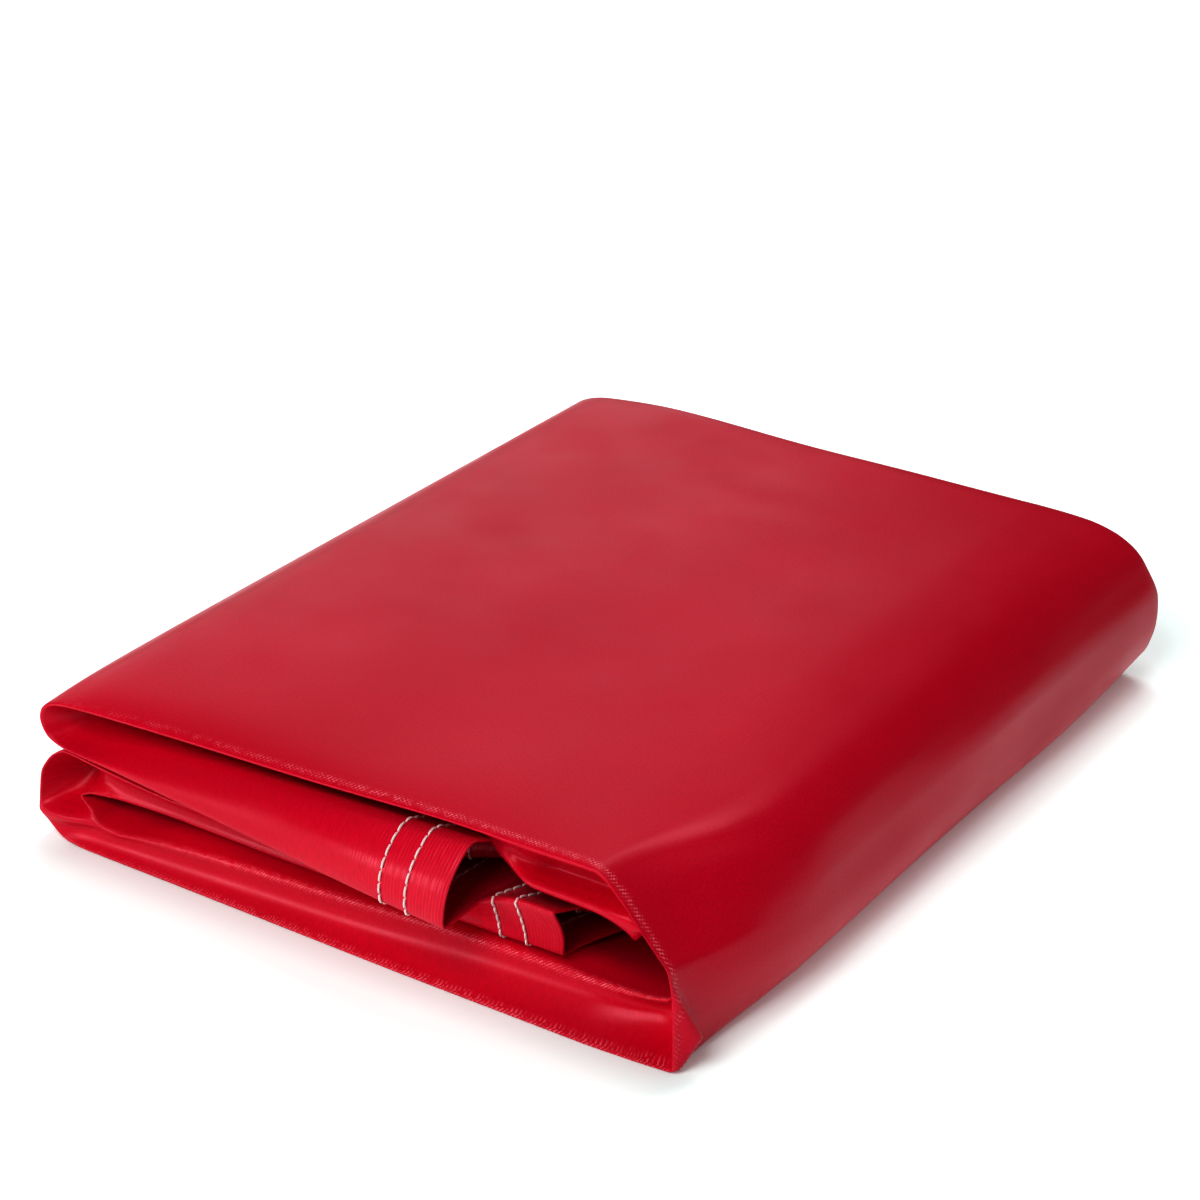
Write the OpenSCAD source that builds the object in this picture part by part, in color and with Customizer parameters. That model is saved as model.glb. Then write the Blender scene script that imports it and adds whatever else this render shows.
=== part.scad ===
// Fire blanket: one hemmed sheet of coated fabric, folded in four to a strip,
// its two ends folded in, and the strip then closed like a book.
// The origin is on the floor under the middle of the closed blanket, +Z is up,
// the double folds are at -Y and the spine of the book is at +X.

/* [Sheet] */
// Hemmed sheet, from side hem to side hem (folded in four)
cut_w = 1524; // [1200:4:1800]
// Hemmed sheet, from end hem to end hem (the length of the strip)
cut_l = 1219; // [1160:1:1260]
// Thickness of the coated fabric
cloth = 0.6; // [0.4:0.1:0.8]

/* [Closed blanket] */
// Overall size along X, from the rolls to the spine
closed_w = 318; // [300:1:330]
// Overall height of the closed blanket
closed_h = 74; // [68:1:84]
// Gap between the two halves of the book
book_gap = 1; // [1:0.1:2]
// Gap at the middle of each roll
roll_gap = 2.5; // [2:0.1:4]
// Outer radius of the rounded upper edge of the spine
shoulder_r = 40; // [26:1:44]
// Outer radius of the lower edge of the spine
foot_r = 22; // [20:1:24]
// Part of the folded-in length that goes to the upper flap
upper_share = 0.45; // [0.35:0.01:0.5]

/* [Folds] */
// Radius of the two creases of the outer front fold
crease_r = 3; // [2:0.1:4]
// Distance of the inner front fold behind the outer one
nest = 7; // [5:0.5:12]
// Distance of the side hems from the back fold
hem_inset = 4; // [3:0.5:8]

/* [Hems] */
// Width of a hem
hem_w = 38; // [30:1:40]
// Distance from the turned edge to the outer row of stitches
row_edge = 18; // [14:1:20]
// Distance between the two rows of stitches
row_gap = 13; // [8:1:16]
// Diameter of the sewing thread
thread = 0.5; // [0.3:0.1:0.6]
// Width of a row of stitches
row_w = 0.9; // [0.6:0.1:1.2]

/* [Hidden] */

$fn = 96;
CLOTH_RED = [0.80, 0.04, 0.10];
FOLD_RED = [0.86, 0.02, 0.08];
HEM_RED = [0.74, 0.05, 0.12];
THREAD_WHITE = [0.94, 0.90, 0.88];

// Levels of the closed blanket
half_h = (closed_h - book_gap) / 2;
roll_r = half_h / 2;
strip_t = roll_r - roll_gap / 2;
pitch = (strip_t - cloth) / 3;
ply_n = [for (k = [0:3]) cloth / 2 + k * pitch];

// Places along X
spine_x = closed_w / 2;
roll_x = -closed_w / 2 + roll_r;
straight = spine_x - roll_x;
corner_saving = (2 - PI / 2) * (shoulder_r + foot_r);
folded_in = cut_l - 2 * straight - closed_h + corner_saving - 2 * PI * (roll_r - cloth / 2);
upper_flap_l = folded_in * upper_share;
lower_flap_l = folded_in - upper_flap_l;

// Places along Y
closed_d = cut_w / 4;
front = -closed_d / 2;
back = closed_d / 2;
turn_r = pitch / 2;
hem_y = back - hem_inset;

// Straight lead between a fold and the ply that it joins
lead = 1;

// Half of the angle left open between two bodies in a bend of the strip
slit = 1;

// ---- Cross-section of the strip: points are [y, n], n is the depth under its outer face ----

function arc(c, r, from, to, steps = 8) =
  [for (i = [0:steps]) let (a = from + (to - from) * i / steps) c + r * [cos(a), sin(a)]];
function last(list) = list[len(list) - 1];
function unit(v) = v / norm(v);
function left_of(v) = [-v[1], v[0]];
function reversed(path) = [for (i = [len(path) - 1:-1:0]) path[i]];

// Direction in which a point of a path is offset, mitred at a corner
function offset_way(path, i) =
  let (
    k = len(path) - 1,
    before = left_of(unit(path[max(i, 1)] - path[max(i, 1) - 1])),
    after = left_of(unit(path[min(i, k - 1) + 1] - path[min(i, k - 1)])),
    both = before + after
  ) 2 * both / (both * both);
function shifted(path, off) = [for (i = [0:len(path) - 1]) path[i] + off * offset_way(path, i)];

// Outline of a layer of the given thickness, its middle off to the left of the path
function layer(path, off = 0, thick = cloth) =
  concat(shifted(path, off - thick / 2), reversed(shifted(path, off + thick / 2)));

// The folds, in the order in which the cloth runs through them
crease_y = front + cloth / 2 + crease_r;
back_turn_y = back - cloth / 2 - turn_r;
inner_turn_y = front + nest + turn_r;
outer_fold = concat(
  [[crease_y + lead, ply_n[3]]],
  arc([crease_y, ply_n[3] - crease_r], crease_r, 90, 180),
  arc([crease_y, ply_n[0] + crease_r], crease_r, 180, 270),
  [[crease_y + lead, ply_n[0]]]);
back_turn = concat(
  [[back_turn_y - lead, ply_n[0]]],
  arc([back_turn_y, ply_n[0] + turn_r], turn_r, -90, 90),
  [[back_turn_y - lead, ply_n[1]]]);
inner_fold = concat(
  [[inner_turn_y + lead, ply_n[1]]],
  arc([inner_turn_y, ply_n[1] + turn_r], turn_r, -90, -270),
  [[inner_turn_y + lead, ply_n[2]]]);

// One outline for each layer of the strip
OUTER_PLY = [layer([last(outer_fold), back_turn[0]])];
MIDDLE_PLIES = [
  layer([last(back_turn), inner_fold[0]]),
  layer([last(inner_fold), [hem_y, ply_n[2]]])
];
INNER_PLY = [layer([[hem_y, ply_n[3]], outer_fold[0]])];
FRONT_FOLD = [layer(outer_fold)];
INNER_FOLD = [layer(inner_fold)];
BACK_FOLD = [layer(back_turn)];
ALL_PLIES = concat(OUTER_PLY, MIDDLE_PLIES, INNER_PLY);
ALL_FOLDS = concat(FRONT_FOLD, INNER_FOLD, BACK_FOLD);

// Side hems: the cloth is turned back inside along the ends of the two inner plies
hem_end_y = hem_y - hem_w;
SIDE_HEMS = [
  layer([[hem_y, ply_n[3]], [hem_end_y, ply_n[3]]], cloth),
  layer([[hem_end_y, ply_n[2]], [hem_y, ply_n[2]]], cloth)
];

// Stitches show on the face of the cloth and on the face of its turned-in part
needle_off = -(cloth + thread) / 2;
bobbin_off = (3 * cloth + thread) / 2;
function side_row(y, n, way) =
  [for (off = [needle_off, bobbin_off]) layer([[y, n], [y + way * row_w, n]], off, thread)];
SIDE_THREADS = [
  for (row = [0:1])
    let (y = hem_y - row_edge - row * row_gap)
      each concat(side_row(y + row_w, ply_n[3], -1), side_row(y, ply_n[2], 1))
];

// End hems run round every ply, up to the side hems
end_path = concat([[hem_end_y, ply_n[3]]], outer_fold, back_turn, inner_fold, [[hem_end_y, ply_n[2]]]);
END_HEM = [layer(end_path, cloth)];
NEEDLE_ROW = [layer(end_path, needle_off, thread)];
BOBBIN_ROW = [layer(end_path, bobbin_off, thread)];

// ---- Stretches of the strip ----

// Level stretch from x0 to x1: its outer face is at z, and the plies lie above it or below it
module level(outline, x0, x1, z, above) {
  side = above ? 1 : -1;
  translate([x0, 0, z]) rotate([90, 0, 90]) linear_extrude(x1 - x0)
    polygon([for (p = outline) [p[0], side * p[1]]]);
}

// Upright stretch of the spine from z0 to z1, its outer face at spine_x
module upright(outline, z0, z1) {
  translate([spine_x, 0, z0]) rotate([0, 0, 90]) linear_extrude(z1 - z0) polygon(outline);
}

// Bend about a line along Y: angles run from +X towards +Z, r is the radius of the outer face,
// and the bend starts at the straight stretch that it joins
module bend(outline, x, z, r, from, to) {
  translate([x, 0, z]) rotate([-90, 0, 0]) rotate([0, 0, -from]) rotate_extrude(angle = from - to)
    polygon([for (p = outline) [r - p[1], p[0]]]);
}

module foot_bend(outline, from, to) bend(outline, spine_x - foot_r, foot_r, foot_r, from, to);
module shoulder_bend(outline, from, to)
  bend(outline, spine_x - shoulder_r, closed_h - shoulder_r, shoulder_r, from, to);

module bottom_run(outlines) for (outline = outlines) {
  level(outline, roll_x, spine_x - foot_r, 0, true);
  foot_bend(outline, -90, -45 - slit);
}

module spine_run(outlines) for (outline = outlines) {
  foot_bend(outline, 0, -45 + slit);
  upright(outline, foot_r, closed_h - shoulder_r);
  shoulder_bend(outline, 0, 45 - slit);
}

module top_run(outlines) for (outline = outlines) {
  shoulder_bend(outline, 90, 45 + slit);
  level(outline, roll_x, spine_x - shoulder_r, closed_h, false);
}

module lower_roll_run(outlines) for (outline = outlines) bend(outline, roll_x, roll_r, roll_r, 90, 270);
module upper_roll_run(outlines) for (outline = outlines)
  bend(outline, roll_x, closed_h - roll_r, roll_r, 90, 270);

// Flaps: a stretch of the folded-in end, its ends measured back from the hemmed edge
lower_edge_x = roll_x + lower_flap_l;
upper_edge_x = roll_x + upper_flap_l;
module lower_flap_run(outlines, from_edge = lower_flap_l, to_edge = 0) for (outline = outlines)
  level(outline, lower_edge_x - from_edge, lower_edge_x - to_edge, half_h, false);
module upper_flap_run(outlines, from_edge = upper_flap_l, to_edge = 0) for (outline = outlines)
  level(outline, upper_edge_x - from_edge, upper_edge_x - to_edge, half_h + book_gap, true);

// ---- Lower half: bottom panel ----

module bottom_outer_ply() color(CLOTH_RED) bottom_run(OUTER_PLY);
module bottom_middle_plies() color(CLOTH_RED) bottom_run(MIDDLE_PLIES);
module bottom_inner_ply() color(CLOTH_RED) bottom_run(INNER_PLY);
module bottom_front_fold() color(FOLD_RED) bottom_run(FRONT_FOLD);
module bottom_inner_fold() color(FOLD_RED) bottom_run(INNER_FOLD);
module bottom_back_fold() color(FOLD_RED) bottom_run(BACK_FOLD);
module bottom_side_hems() color(HEM_RED) bottom_run(SIDE_HEMS);
module bottom_side_threads() color(THREAD_WHITE) bottom_run(SIDE_THREADS);

// ---- Lower half: roll ----

module lower_roll_plies() color(CLOTH_RED) lower_roll_run(ALL_PLIES);
module lower_roll_folds() color(FOLD_RED) lower_roll_run(ALL_FOLDS);
module lower_roll_side_hems() color(HEM_RED) lower_roll_run(SIDE_HEMS);
module lower_roll_side_threads() color(THREAD_WHITE) lower_roll_run(SIDE_THREADS);

// ---- Lower half: flap ----

module lower_flap_outer_ply() color(CLOTH_RED) lower_flap_run(OUTER_PLY);
module lower_flap_middle_plies() color(CLOTH_RED) lower_flap_run(MIDDLE_PLIES);
module lower_flap_inner_ply() color(CLOTH_RED) lower_flap_run(INNER_PLY);
module lower_flap_front_fold() color(FOLD_RED) lower_flap_run(FRONT_FOLD);
module lower_flap_inner_fold() color(FOLD_RED) lower_flap_run(INNER_FOLD);
module lower_flap_back_fold() color(FOLD_RED) lower_flap_run(BACK_FOLD);
module lower_flap_side_hems() color(HEM_RED) lower_flap_run(SIDE_HEMS);
module lower_flap_side_threads() color(THREAD_WHITE) lower_flap_run(SIDE_THREADS);
module lower_flap_end_hem() color(HEM_RED) lower_flap_run(END_HEM, hem_w);

module lower_flap_needle_threads() color(THREAD_WHITE)
  for (row = [0:1])
    let (at = row_edge + row * row_gap) lower_flap_run(NEEDLE_ROW, at + row_w, at);

module lower_flap_bobbin_threads() color(THREAD_WHITE)
  for (row = [0:1])
    let (at = row_edge + row * row_gap) lower_flap_run(BOBBIN_ROW, at + row_w, at);

// ---- Spine ----

module spine_outer_ply() color(CLOTH_RED) spine_run(OUTER_PLY);
module spine_middle_plies() color(CLOTH_RED) spine_run(MIDDLE_PLIES);
module spine_inner_ply() color(CLOTH_RED) spine_run(INNER_PLY);
module spine_front_fold() color(FOLD_RED) spine_run(FRONT_FOLD);
module spine_inner_fold() color(FOLD_RED) spine_run(INNER_FOLD);
module spine_back_fold() color(FOLD_RED) spine_run(BACK_FOLD);
module spine_side_hems() color(HEM_RED) spine_run(SIDE_HEMS);
module spine_side_threads() color(THREAD_WHITE) spine_run(SIDE_THREADS);

// ---- Upper half: top panel ----

module top_outer_ply() color(CLOTH_RED) top_run(OUTER_PLY);
module top_middle_plies() color(CLOTH_RED) top_run(MIDDLE_PLIES);
module top_inner_ply() color(CLOTH_RED) top_run(INNER_PLY);
module top_front_fold() color(FOLD_RED) top_run(FRONT_FOLD);
module top_inner_fold() color(FOLD_RED) top_run(INNER_FOLD);
module top_back_fold() color(FOLD_RED) top_run(BACK_FOLD);
module top_side_hems() color(HEM_RED) top_run(SIDE_HEMS);
module top_side_threads() color(THREAD_WHITE) top_run(SIDE_THREADS);

// ---- Upper half: roll ----

module upper_roll_plies() color(CLOTH_RED) upper_roll_run(ALL_PLIES);
module upper_roll_folds() color(FOLD_RED) upper_roll_run(ALL_FOLDS);
module upper_roll_side_hems() color(HEM_RED) upper_roll_run(SIDE_HEMS);
module upper_roll_side_threads() color(THREAD_WHITE) upper_roll_run(SIDE_THREADS);

// ---- Upper half: flap ----

module upper_flap_outer_ply() color(CLOTH_RED) upper_flap_run(OUTER_PLY);
module upper_flap_middle_plies() color(CLOTH_RED) upper_flap_run(MIDDLE_PLIES);
module upper_flap_inner_ply() color(CLOTH_RED) upper_flap_run(INNER_PLY);
module upper_flap_front_fold() color(FOLD_RED) upper_flap_run(FRONT_FOLD);
module upper_flap_inner_fold() color(FOLD_RED) upper_flap_run(INNER_FOLD);
module upper_flap_back_fold() color(FOLD_RED) upper_flap_run(BACK_FOLD);
module upper_flap_side_hems() color(HEM_RED) upper_flap_run(SIDE_HEMS);
module upper_flap_side_threads() color(THREAD_WHITE) upper_flap_run(SIDE_THREADS);
module upper_flap_end_hem() color(HEM_RED) upper_flap_run(END_HEM, hem_w);

module upper_flap_needle_threads() color(THREAD_WHITE)
  for (row = [0:1])
    let (at = row_edge + row * row_gap) upper_flap_run(NEEDLE_ROW, at + row_w, at);

module upper_flap_bobbin_threads() color(THREAD_WHITE)
  for (row = [0:1])
    let (at = row_edge + row * row_gap) upper_flap_run(BOBBIN_ROW, at + row_w, at);

// ---- Nodes ----

bottom_outer_ply();
bottom_middle_plies();
bottom_inner_ply();
bottom_front_fold();
bottom_inner_fold();
bottom_back_fold();
bottom_side_hems();
bottom_side_threads();
lower_roll_plies();
lower_roll_folds();
lower_roll_side_hems();
lower_roll_side_threads();
lower_flap_outer_ply();
lower_flap_middle_plies();
lower_flap_inner_ply();
lower_flap_front_fold();
lower_flap_inner_fold();
lower_flap_back_fold();
lower_flap_side_hems();
lower_flap_side_threads();
lower_flap_end_hem();
lower_flap_needle_threads();
lower_flap_bobbin_threads();
spine_outer_ply();
spine_middle_plies();
spine_inner_ply();
spine_front_fold();
spine_inner_fold();
spine_back_fold();
spine_side_hems();
spine_side_threads();
top_outer_ply();
top_middle_plies();
top_inner_ply();
top_front_fold();
top_inner_fold();
top_back_fold();
top_side_hems();
top_side_threads();
upper_roll_plies();
upper_roll_folds();
upper_roll_side_hems();
upper_roll_side_threads();
upper_flap_outer_ply();
upper_flap_middle_plies();
upper_flap_inner_ply();
upper_flap_front_fold();
upper_flap_inner_fold();
upper_flap_back_fold();
upper_flap_side_hems();
upper_flap_side_threads();
upper_flap_end_hem();
upper_flap_needle_threads();
upper_flap_bobbin_threads();
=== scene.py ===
import math

import bpy
import numpy as np
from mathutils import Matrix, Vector


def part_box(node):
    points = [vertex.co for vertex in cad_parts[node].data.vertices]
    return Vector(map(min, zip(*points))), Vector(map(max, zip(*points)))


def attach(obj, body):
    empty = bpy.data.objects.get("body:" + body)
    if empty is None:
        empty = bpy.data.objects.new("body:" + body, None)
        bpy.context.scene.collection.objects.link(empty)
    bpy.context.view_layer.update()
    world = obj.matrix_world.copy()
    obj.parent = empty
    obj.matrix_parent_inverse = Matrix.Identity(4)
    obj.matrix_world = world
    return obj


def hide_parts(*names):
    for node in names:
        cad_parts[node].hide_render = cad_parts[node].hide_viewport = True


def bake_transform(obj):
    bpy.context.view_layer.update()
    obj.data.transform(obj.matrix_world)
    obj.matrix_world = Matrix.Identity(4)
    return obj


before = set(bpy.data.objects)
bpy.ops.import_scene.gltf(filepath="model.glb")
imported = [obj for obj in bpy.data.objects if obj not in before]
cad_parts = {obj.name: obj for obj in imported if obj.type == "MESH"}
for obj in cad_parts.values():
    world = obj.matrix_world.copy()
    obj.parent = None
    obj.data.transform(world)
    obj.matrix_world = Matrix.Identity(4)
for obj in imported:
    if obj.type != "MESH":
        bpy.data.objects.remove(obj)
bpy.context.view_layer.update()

# Lengths are in millimetres, up to the materials. Guide points are measured from the foot of
# the spine's front corner: x towards the spine (+X), y into the depth (+Y), z up.
MM = 0.001
SPINE_BULGE = 13.0
CLOTH = 0.6
HEM_GAP = 0.75
HEM_W = 38.0
ROW_EDGE = 18.0
ROW_GAP = 13.0
STITCH = 5.0
STITCH_GAP = 0.2
THREAD_R = 0.5

spine_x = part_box("spine_outer_ply")[1].x / MM
front_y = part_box("bottom_front_fold")[0].y / MM
back_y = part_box("bottom_back_fold")[1].y / MM
ORIGIN = np.array([spine_x - SPINE_BULGE, front_y, 0.0])
DEPTH = back_y - front_y
HEM_INSET = back_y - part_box("bottom_side_hems")[1].y / MM

# ---- Guide curves ----
# The strip runs through seven stretches: lower flap, lower roll, bottom, spine, top, upper roll
# and upper flap. Parameter t is 0 at the lower flap's hem edge and 7 at the upper flap's, and
# whole numbers are where one stretch ends and the next begins. The two pieces meet at CUT.
UPPER_HEM = 7.0
CUT = 3.46

# Outer ply in the middle of the depth: t, x, z
OUTER_MIDDLE = [
    (0.0, -38, 38.4), (0.3, -113, 36.3), (0.7, -212, 36.8), (0.93, -270, 38.6), (1.0, -287, 39.0),
    (1.125, -294.5, 37.4), (1.25, -300.6, 33.0), (1.375, -304.5, 27.0), (1.5, -306, 19.8),
    (1.625, -304.5, 12.4), (1.75, -300.6, 6.2), (1.875, -294.5, 1.8), (2.0, -287, 0.3),
    (2.5, -149, 0.3), (2.95, -25, 0.3), (3.02, -7, 0.5), (3.1, 1.0, 2.2), (3.2, 7.4, 8.4),
    (3.3, 11.2, 17.0), (3.43, 12.7, 29.0), (3.56, 12.3, 42.0), (3.7, 6.8, 55.5), (3.8, -0.5, 63.8),
    (3.9, -11, 69.6), (4.0, -25, 72.6), (4.1, -51, 73.6), (4.3, -104, 73.6), (4.54, -167, 73.4),
    (4.83, -242, 72.2), (4.95, -272, 70.6), (5.0, -284, 69.4), (5.125, -293, 67.4),
    (5.25, -299.6, 63.2), (5.375, -303, 58.4), (5.5, -304, 53.2), (5.625, -303, 48.4),
    (5.75, -299.6, 44.4), (5.875, -294, 41.4), (6.0, -287, 40.2), (6.1, -267, 39.6),
    (6.5, -185.5, 38.2), (7.0, -84, 38.4),
]
# Inner ply in the middle of the depth: t, x, z
INNER_MIDDLE = [
    (0.0, -38, 21.0), (0.5, -162, 20.4), (0.9, -262, 21.2), (1.0, -281, 21.4), (1.25, -284.6, 20.9),
    (1.5, -286, 19.5), (1.75, -284.6, 18.1), (2.0, -281, 17.4), (2.1, -259, 16.9), (2.5, -149, 16.7),
    (2.9, -38, 16.9), (3.0, -17, 17.4), (3.1, -9, 18.8), (3.2, -5.5, 22.0), (3.3, -4, 26.5),
    (3.43, -3.6, 33), (3.56, -5, 41.5), (3.7, -10, 49.5), (3.8, -16, 53.8), (3.9, -24, 56.2),
    (4.0, -35, 57.2), (4.1, -54, 57.6), (4.3, -104, 57.6), (4.54, -167, 56.8), (4.83, -242, 54.4),
    (5.0, -282, 53.0), (5.25, -286, 52.6), (5.5, -287.6, 51.4), (5.75, -286, 50.2), (6.0, -281, 49.9),
    (6.1, -264, 50.4), (6.5, -185.5, 53.0), (7.0, -84, 53.6),
]
# Outer crease of the front fold: t, x, y, z
OUTER_CREASE = [
    (0.0, -54, 2, 49.0), (0.05, -65, 2, 49.3), (0.1, -76, 3, 47.0), (0.14, -85, 4.5, 42.5),
    (0.18, -94, 6, 37), (0.24, -108, 6, 35), (0.35, -134, 4, 35), (0.5, -171, 3, 36),
    (0.75, -233, 1, 37.2), (0.88, -264, 0.5, 40), (1.0, -289, 0, 43.2), (1.15, -296, 0, 40.2),
    (1.3, -301, 0, 35.0), (1.42, -304.2, 0, 29.5), (1.6, -306, 0, 19.0), (1.74, -306.8, 0, 12.4),
    (1.8, -303.5, 0, 9.2), (1.97, -291, 0, 0.9), (2.03, -282, -0.3, 0.3), (2.3, -204, -1.2, 0.3),
    (2.68, -104, -2.2, 0.3), (2.9, -42, -2.2, 0.4), (3.0, -15, -1, 0.3), (3.1, -2.5, 0, 0.3),
    (3.15, 0.0, 0, 1.6), (3.25, 0.2, 0, 12), (3.4, -0.4, 0, 29), (3.52, -2.2, 0, 41.5),
    (3.58, -7, 0, 47.3), (3.68, -13.6, 0, 54.4), (3.82, -23, 0, 65), (3.93, -32, 0, 72.6),
    (3.965, -35.4, 0, 73.6), (4.05, -50, 0, 73.3), (4.15, -70, 0, 73.0), (4.27, -97, 0, 72.2),
    (4.54, -167, 0, 68.7), (4.83, -242, 0, 66.0), (5.0, -287, 0, 63.8), (5.15, -296, 0, 62.4),
    (5.35, -301.6, 0, 58.5), (5.5, -302.6, 0, 54.7), (5.75, -300, 0, 48.2), (5.92, -295, 0, 45.3),
    (6.0, -290, -0.3, 44.2), (6.1, -268, -1.5, 43.2), (6.25, -237, -3.5, 41.8), (6.5, -187, -7, 39.4),
    (6.75, -138, -11, 37.4), (7.0, -91, -14, 35.8),
]
# Inner crease of the front fold: t, x, y, z
INNER_CREASE = [
    (0.0, -57, 13, 22.8), (0.1, -79, 14, 21.4), (0.2, -103, 14, 20.2), (0.35, -136.4, 12, 19.7),
    (0.5, -173.4, 12, 19.6), (0.75, -240.5, 12, 20.6), (0.92, -273, 10, 21.2), (1.0, -279, 8, 21.8),
    (1.2, -284, 6, 22.5), (1.45, -287, 4, 21.6), (1.65, -281, 3, 17.6), (1.85, -274, 2, 12.6),
    (2.0, -265, 2, 12.0), (2.1, -252, 3, 13.2), (2.29, -211, 5, 15.4), (2.48, -158.5, 7, 17.0),
    (2.72, -92, 11, 18.4), (2.9, -42, 13, 17.8), (3.0, -22, 14, 17.8), (3.1, -13, 15, 18.8),
    (3.2, -10, 15, 22.5), (3.32, -9.4, 13, 29.5), (3.45, -10, 10, 38), (3.58, -13, 7, 46.5),
    (3.72, -19.5, 3, 53.2), (3.85, -27, 0, 56.0), (3.95, -35, -1, 57.4), (4.05, -50, -1, 57.8),
    (4.13, -66, 0, 57.4), (4.18, -79, 6, 57.0), (4.24, -93, 13, 62.8), (4.3, -106, 15, 66.6),
    (4.54, -167, 15, 64.4), (4.83, -242, 17, 61.2), (5.0, -274, 20, 59.0), (5.25, -284, 22, 58.2),
    (5.5, -288, 22, 55.2), (5.75, -285, 21, 52.4), (6.0, -276, 19, 51.6), (6.1, -262, 16, 53.0),
    (6.25, -235, 11, 57.0), (6.5, -188, 6, 61.4), (6.75, -137.5, 3, 65.6), (7.0, -88, 2, 68.5),
]
# Middle of the band between the creases, measured from half way between them: t, x, y, z
BAND_BULGE = [
    (0.0, 2, 1, 0), (0.1, 1, 0, 0), (0.2, 0, 4, 0), (0.5, 0, 6, 0), (0.9, 0, 7, 0), (1.1, 0, 14, 0),
    (1.4, 3, 20, 1), (1.62, 1, 12, 0), (1.76, 0, -2, 0), (1.9, 0, 3, 0), (2.1, 0, 3, 0),
    (2.5, 0, 4, -1), (2.9, -1, 5, 0), (3.05, -2, 11, 0), (3.25, -4, 10, 0), (3.4, 0, 3, 0),
    (3.75, 0, 8, 0), (3.88, 0, 14, -4), (3.96, 0, 17, -7), (4.11, 0, 17, -7), (4.15, 0, 12, -4),
    (4.2, 0, 6, 1), (4.5, 0, 2, 0), (5.0, 2, 4, 0), (5.5, 4, 5, 0), (5.75, 2, 4, 0), (6.0, 0, 0, -1),
    (6.2, 0, -4, 0), (6.5, 0, -4, 1), (6.85, 0, -7, 2), (7.0, 0, -6, 2),
]
# Roundness of the two creases: t, inner one, outer one
ROUNDNESS = [
    (0.0, 4, 4), (0.3, 4, 3), (1.0, 3, 2.5), (1.5, 2, 2), (2.1, 2.2, 2), (3.0, 2.5, 2), (3.6, 3, 2),
    (3.85, 9, 3), (4.0, 11, 4.5), (4.15, 11, 4.5), (4.3, 4, 4.5), (5.0, 4, 4), (5.5, 4, 3), (6.0, 5, 3),
    (6.5, 5, 3.4), (7.0, 5, 4),
]

# The small corner that sticks out at the foot of the spine: its t, the depth of its ridge, how
# soon it falls off behind the ridge, and its height
EAR_T = (3.12, 3.27, 3.47)
EAR_DEPTH = 8.5
EAR_FALL = 5.0
EAR_H = 7.0

# Whitening along the outer and inner crease: t, how strong, how far from the crease
OUTER_WEAR = [
    (0.0, 0.1, 0), (1.6, 0.15, 0), (2.1, 0.3, -0.6), (2.5, 0.8, -0.6), (3.05, 0.7, -0.6),
    (3.15, 0.2, 0), (3.4, 0.5, 2), (3.55, 1.0, 2.4), (4.0, 1.0, 3), (4.4, 0.9, 3), (4.75, 0.4, 3),
    (5.2, 0.2, 0), (6.0, 0.1, 0), (7.0, 0.1, 0),
]
INNER_WEAR = [
    (0.0, 0.1, 0), (1.2, 0.3, 0), (2.0, 0.3, 0), (2.3, 0.8, 0), (3.05, 1.0, 0), (3.15, 0.3, 0),
    (3.5, 0.1, 0), (7.0, 0.1, 0),
]
WEAR_W = 1.3

# How far the ribs beside an end hem reach, with the painted highlight that lies on them
SEWN_W = 40.0

# Columns of the mesh in each stretch
COLUMNS = (72, 40, 72, 64, 80, 40, 60)


def pchip(t, guide):
    """Monotone cubic curves through the guide points, one for each value after t."""
    table = np.array(guide, float)
    knots, values = table[:, 0], table[:, 1:]
    h = np.diff(knots)[:, None]
    slope = np.diff(values, axis=0) / h
    before, after = slope[:-1], slope[1:]
    w1, w2 = 2 * h[1:] + h[:-1], h[1:] + 2 * h[:-1]
    same_way = before * after > 0
    safe_before = np.where(same_way, before, 1.0)
    safe_after = np.where(same_way, after, 1.0)
    inner_slope = np.where(same_way, (w1 + w2) / (w1 / safe_before + w2 / safe_after), 0.0)
    m = np.vstack([slope[:1], inner_slope, slope[-1:]])
    i = np.clip(np.searchsorted(knots, t, side="right") - 1, 0, len(h) - 1)
    step = h[i]
    u = (np.asarray(t)[:, None] - knots[i][:, None]) / step
    start = (1 + 2 * u) * (1 - u) ** 2 * values[i] + u * (1 - u) ** 2 * step * m[i]
    end = u * u * (3 - 2 * u) * values[i + 1] + u * u * (u - 1) * step * m[i + 1]
    return start + end


def smooth(x):
    """Smooth step: 0 below 0, 1 above 1."""
    x = np.clip(x, 0.0, 1.0)
    return x * x * (3 - 2 * x)


def stretch(t, span):
    """1 along a stretch of the strip and 0 off it: it rises and falls over the span's four values of t."""
    rise_from, rise_to, fall_from, fall_to = span
    return smooth((t - rise_from) / (rise_to - rise_from)) * smooth((fall_to - t) / (fall_to - fall_from))


def bump(x, middle, width):
    return np.exp(-(((x - middle) / width) ** 2))


def unit(v):
    return v / np.maximum(np.linalg.norm(v, axis=-1, keepdims=True), 1e-9)


def bezier(a, b, c, v):
    """Points at v along the small curve from a to c that turns the corner b."""
    return a[:, None] * (1 - v) ** 2 + 2 * b[:, None] * v * (1 - v) + c[:, None] * v * v


def half_round(a, b, reach):
    """Half round from a to b, bulging along Y by reach."""
    phi = np.linspace(0, np.pi, 9)[1:-1]
    share = ((1 - np.cos(phi)) / 2)[None, :, None]
    points = a[:, None] * (1 - share) + b[:, None] * share
    points[..., 1] += reach * np.sin(phi)[None]
    return points


# ---- The folded strip as a grid of points ----

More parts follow.
